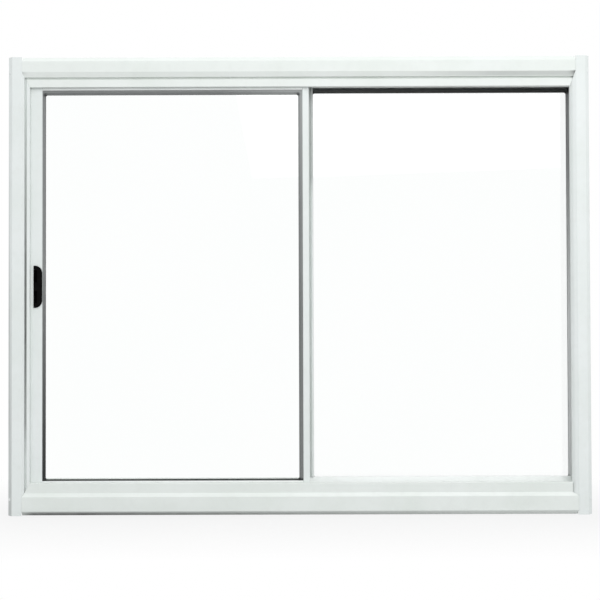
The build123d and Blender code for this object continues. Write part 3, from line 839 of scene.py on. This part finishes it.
def many_of(one, places):
    """Join copies of one mesh, each set in its place by a matrix."""
    joined = bmesh.new()
    for place in places:
        copy = one.copy()
        bmesh.ops.transform(copy, matrix=place, verts=copy.verts)
        loose = bpy.data.meshes.new("loose copy")
        copy.to_mesh(loose)
        copy.free()
        joined.from_mesh(loose)
        bpy.data.meshes.remove(loose)
    one.free()
    return joined


def settle(name, mesh, material):
    """Make a finished piece of a mesh, smooth where its faces meet softly, that moves with the window."""
    data = bpy.data.meshes.new(name)
    mesh.to_mesh(data)
    mesh.free()
    data.set_sharp_from_angle(angle=math.radians(smooth_up_to))
    data.materials.append(material)
    piece = bpy.data.objects.new(name, data)
    bpy.context.scene.collection.objects.link(piece)
    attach(piece, "root")
    print(f"{name}: {len(data.polygons)} faces")


print("pieces can be copied and settled")

# %% Set the screws in the jambs
casing_lap = 0.034  # from the casing's side to the web that the heads lie on
ring_inset = 0.041  # from the casing's foot or top to a screw's middle
front_screw_depth = -0.029
back_screw_depth = 0.024
turn_between_screws = 37.0
casing_low, casing_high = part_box("jamb_left")
casing_edge = -casing_low.x
screw_heights = (casing_low.z + ring_inset, casing_high.z - ring_inset)
screw_places = []
for side in (-1.0, 1.0):
    outward = Matrix.Rotation(math.radians(90.0 * side), 4, "Y")
    for depth in (front_screw_depth, back_screw_depth):
        for height in screw_heights:
            own_turn = Matrix.Rotation(math.radians(turn_between_screws * len(screw_places)), 4, "Z")
            spot = Matrix.Translation((side * (casing_edge - casing_lap), depth, height))
            screw_places.append(spot @ outward @ own_turn)
settle("corner_screws", many_of(one_screw, screw_places), screw_steel)

# %% [markdown]
# ## Caps over the driver holes
# Four of the screws lie behind the casing, so a hole in the casing's outer bevel lets the screwdriver
# through. On a real frame a white cap is pressed into such a hole. A flat disc would do from far off, but
# a cap is a low dome with a rolled rim that catches the light, so half of its outline is spun round the
# axis. Its two poles are closed by merging the points that meet there.

# %% Shape and set the caps
cap_radius = 0.0036
cap_rim = 0.0003
cap_rise = 0.0004
cap_sunk = 0.0002
cap_sides = 32
cap_dome_steps = 8
bevel_width = 0.011
bevel_return = 0.009


def round_cap():
    """Spin half the outline of a low dome, from the pole underneath to the pole on top."""
    mesh = bmesh.new()
    outline = [(0.0, -cap_sunk), (cap_radius, -cap_sunk)]
    for turn in quarter_turn(cap_dome_steps):
        outline.append((cap_radius * math.cos(turn) ** 0.5, cap_rim + cap_rise * math.sin(turn)))
    lathe(mesh, outline, cap_sides)
    bmesh.ops.remove_doubles(mesh, verts=mesh.verts, dist=same_spot)
    bmesh.ops.recalc_face_normals(mesh, faces=mesh.faces)
    return mesh


bevel_edge = Vector((casing_edge, casing_low.y + bevel_return, 0.0))
bevel_fall = Vector((-bevel_width, -bevel_return, 0.0))
hole = bevel_edge + bevel_fall * ((front_screw_depth - bevel_edge.y) / bevel_fall.y)
cap_places = []
for side in (-1.0, 1.0):
    outward = Vector((-bevel_fall.y * side, bevel_fall.x, 0.0)).normalized()
    turn = Vector((0.0, 0.0, 1.0)).rotation_difference(outward).to_matrix().to_4x4()
    for height in screw_heights:
        cap_places.append(Matrix.Translation((hole.x * side, hole.y, height)) @ turn)
settle("driver_hole_caps", many_of(round_cap(), cap_places), hood_white)

# %% [markdown]
# ## Floor and background
# The window stands on a white studio floor with a white room behind. White could come from more light,
# but that would bleach the window as well. Instead the floor and the room look white to the camera, and
# to rays that come through the glass or bounce off it, while they light the window only softly. Near the
# window the floor still shows part of its real shade, so the window's shadow stays on it.

# %% Floor
floor_radius = 30.0
floor_sides = 96
gap_under_window = 0.0005
mottle_cloud = 0.3
white_beside_window = 0.80
whole_white_from = 0.42  # metres before and behind the window


def studio_floor():
    """Matt grey that gives way to plain white away from the window."""
    floor = Finish("studio floor")
    mottle = floor.grows(floor.noise(floor.place(), mottle_cloud))
    shade = floor.blend(mottle, opaque(0.50, 0.50, 0.50), opaque(0.53, 0.53, 0.53))
    matt = floor.node("ShaderNodeBsdfDiffuse", {}, {"Color": shade})
    light = floor.node("ShaderNodeEmission", {}, {"Color": opaque(1.0, 1.0, 1.0), "Strength": 1.0})
    away = floor.between(abs(floor.along("Y")), white_beside_window, 1.0, 0.0, whole_white_from)
    mixed = floor.node("ShaderNodeMixShader", {}, {0: floor.white_rays() * away, 1: matt, 2: light})
    floor.node("ShaderNodeOutputMaterial", {}, {"Surface": mixed})
    return floor.material


floor_mesh = bmesh.new()
bmesh.ops.create_circle(floor_mesh, cap_ends=True, segments=floor_sides, radius=floor_radius)
floor_data = bpy.data.meshes.new("studio_floor")
floor_mesh.to_mesh(floor_data)
floor_mesh.free()
floor_data.transform(Matrix.Translation((0.0, 0.0, casing_low.z - gap_under_window)))
floor_data.materials.append(studio_floor())
studio = bpy.data.objects.new("studio_floor", floor_data)
bpy.context.scene.collection.objects.link(studio)
print("floor laid")

# %% White room round the window
def white_room():
    """Plain white where it is seen, and a little dimmer and bluer where it lights the window."""
    room = Finish("white room", bpy.data.worlds)
    soft = {"Color": opaque(0.96, 0.98, 1.0), "Strength": 0.90}
    plain = {"Color": opaque(1.0, 1.0, 1.0), "Strength": 1.0}
    light = room.node("ShaderNodeBackground", {}, soft)
    white = room.node("ShaderNodeBackground", {}, plain)
    mixed = room.node("ShaderNodeMixShader", {}, {0: room.white_rays(), 1: light, 2: white})
    room.node("ShaderNodeOutputWorld", {}, {"Surface": mixed})
    return room.material


bpy.context.scene.world = white_room()
bpy.context.scene.view_settings.view_transform = "Standard"
print("white room set")

# %% [markdown]
# ## Soft light from above
# The window was lit by one broad, soft light above the camera and a little to its right: the bevels that
# face up are nearly white, and those that face down or to the left are grey. A sun lamp would give the
# same shade all the way down a bar. A large panel that hangs near gives the slow change from the top to
# the bottom that the picture shows. A second panel hangs high behind the window, so that its outside
# isn't flat when it is seen from there. Both are hidden from the camera and from what it sees through
# the glass, because a white square in a pane would look like a thing in the room.

# %% Panel lamps
panel_side = 3.2
lamp_target = Vector((0.0, 0.0, 0.6))


def panel_lamp(name, spot, watts):
    """Hang a square panel that shines at the window and isn't seen itself."""
    lamp = bpy.data.lights.new(name, "AREA")
    lamp.shape = "SQUARE"
    lamp.size = panel_side
    lamp.energy = watts
    holder = bpy.data.objects.new(name, lamp)
    holder.location = spot
    holder.visible_camera = False
    holder.visible_transmission = False
    aim = lamp_target - Vector(spot)
    holder.rotation_euler = aim.to_track_quat("-Z", "Y").to_euler()
    bpy.context.scene.collection.objects.link(holder)
    print(f"{name}: {watts} W from {aim.length:.2f} m")


panel_lamp("soft panel above the camera", (0.95, -3.2, 2.7), 62.0)
panel_lamp("weak panel behind the window", (-0.8, 2.6, 3.4), 50.0)
